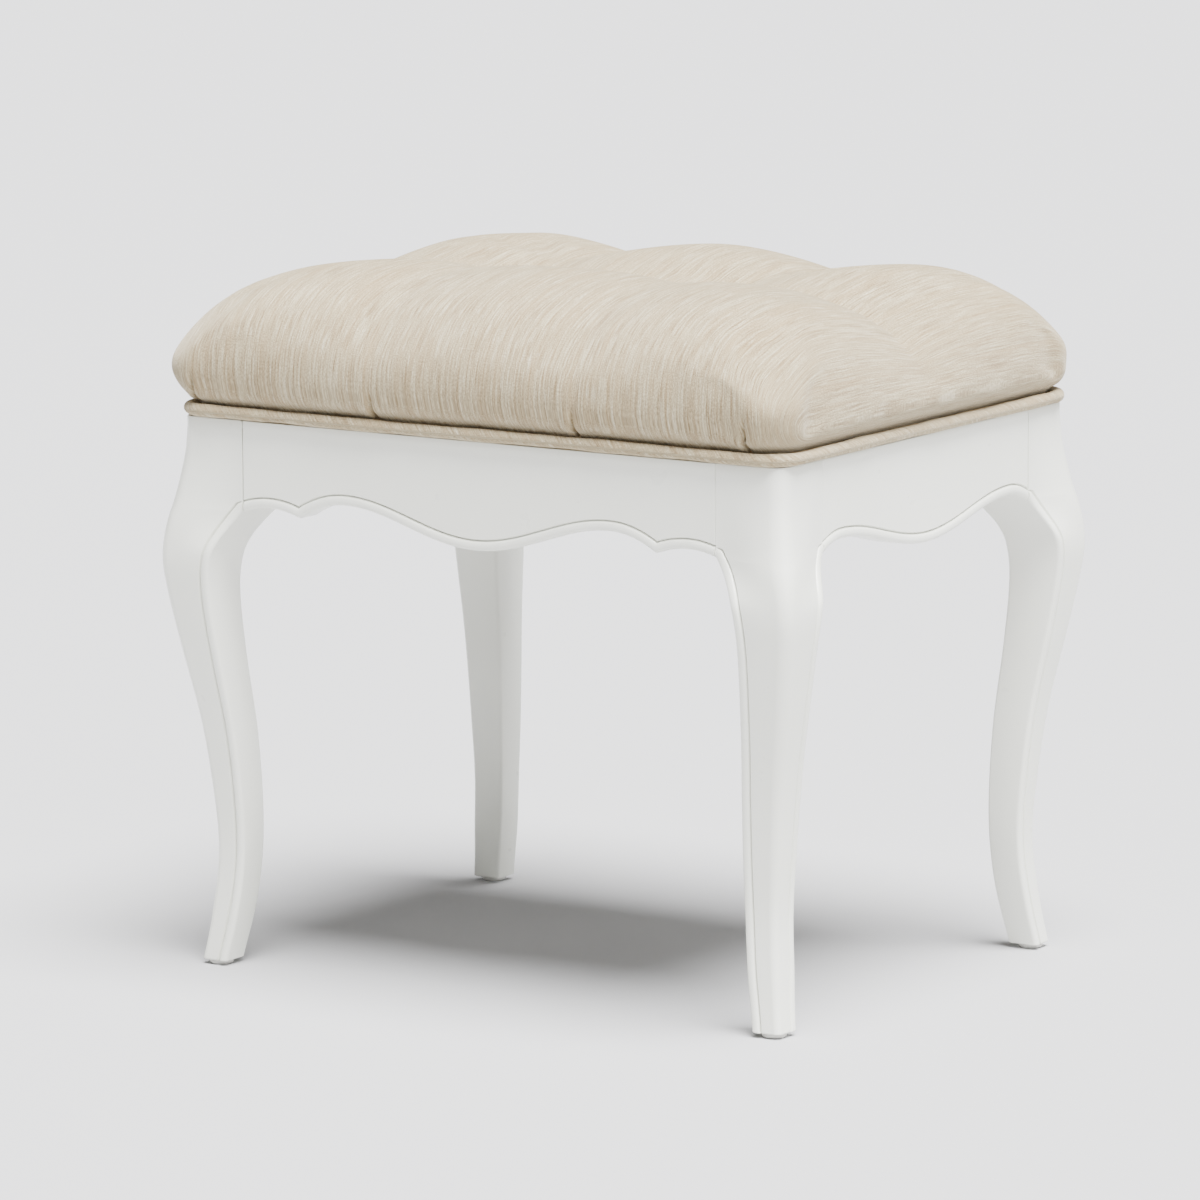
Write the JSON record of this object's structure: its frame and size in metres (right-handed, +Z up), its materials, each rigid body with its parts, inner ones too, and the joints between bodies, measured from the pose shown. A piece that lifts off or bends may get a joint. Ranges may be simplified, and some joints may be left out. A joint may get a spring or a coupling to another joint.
{
  "type": "dressing stool",
  "caption": "Upholstered dressing stool: tufted seat pad with piped edge on a painted wood frame with scalloped aprons and cabriole legs.",
  "frame": {"origin": "on the floor, under the middle of the seat", "axes": "+Z up, +X along the width to the right as seen from the front, -Y to the front"},
  "size_m": [0.4838, 0.3788, 0.461],
  "materials": {
    "paint": "warm off-white satin paint over sanded wood",
    "seat_fabric": "beige slub-weave upholstery cloth with fine pale and tan streaks",
    "bare_wood": "unfinished beech, sawn and sanded",
    "plywood": "raw plywood with visible edge plies",
    "foam": "open-cell polyurethane foam",
    "zinc_steel": "bright zinc-plated steel",
    "dust_cloth": "black non-woven lining cloth",
    "glide": "off-white moulded nylon",
    "twine": "waxed linen tufting twine"
  },
  "bodies": {
    "root": {"leg_front_left": "paint", "glide_front_left": "glide", "corner_block_front_left": "bare_wood", "leg_bolt_front_left": "zinc_steel", "washer_front_left": "zinc_steel", "nut_front_left": "zinc_steel", "seat_screw_front_left": "zinc_steel", "dowel_front_left_width_lower": "bare_wood", "dowel_front_left_width_upper": "bare_wood", "dowel_front_left_depth_lower": "bare_wood", "dowel_front_left_depth_upper": "bare_wood", "leg_front_right": "paint", "glide_front_right": "glide", "corner_block_front_right": "bare_wood", "leg_bolt_front_right": "zinc_steel", "washer_front_right": "zinc_steel", "nut_front_right": "zinc_steel", "seat_screw_front_right": "zinc_steel", "dowel_front_right_width_lower": "bare_wood", "dowel_front_right_width_upper": "bare_wood", "dowel_front_right_depth_lower": "bare_wood", "dowel_front_right_depth_upper": "bare_wood", "leg_back_left": "paint", "glide_back_left": "glide", "corner_block_back_left": "bare_wood", "leg_bolt_back_left": "zinc_steel", "washer_back_left": "zinc_steel", "nut_back_left": "zinc_steel", "seat_screw_back_left": "zinc_steel", "dowel_back_left_width_lower": "bare_wood", "dowel_back_left_width_upper": "bare_wood", "dowel_back_left_depth_lower": "bare_wood", "dowel_back_left_depth_upper": "bare_wood", "leg_back_right": "paint", "glide_back_right": "glide", "corner_block_back_right": "bare_wood", "leg_bolt_back_right": "zinc_steel", "washer_back_right": "zinc_steel", "nut_back_right": "zinc_steel", "seat_screw_back_right": "zinc_steel", "dowel_back_right_width_lower": "bare_wood", "dowel_back_right_width_upper": "bare_wood", "dowel_back_right_depth_lower": "bare_wood", "dowel_back_right_depth_upper": "bare_wood", "apron_front": "paint", "apron_back": "paint", "apron_left": "paint", "apron_right": "paint", "dust_cover": "dust_cloth", "seat_board": "plywood", "foam_pad": "foam", "seat_cover": "seat_fabric", "welt": "seat_fabric", "tuft_button_left": "seat_fabric", "tuft_twine_left": "twine", "tuft_button_right": "seat_fabric", "tuft_twine_right": "twine"}
  },
  "joints": []
}
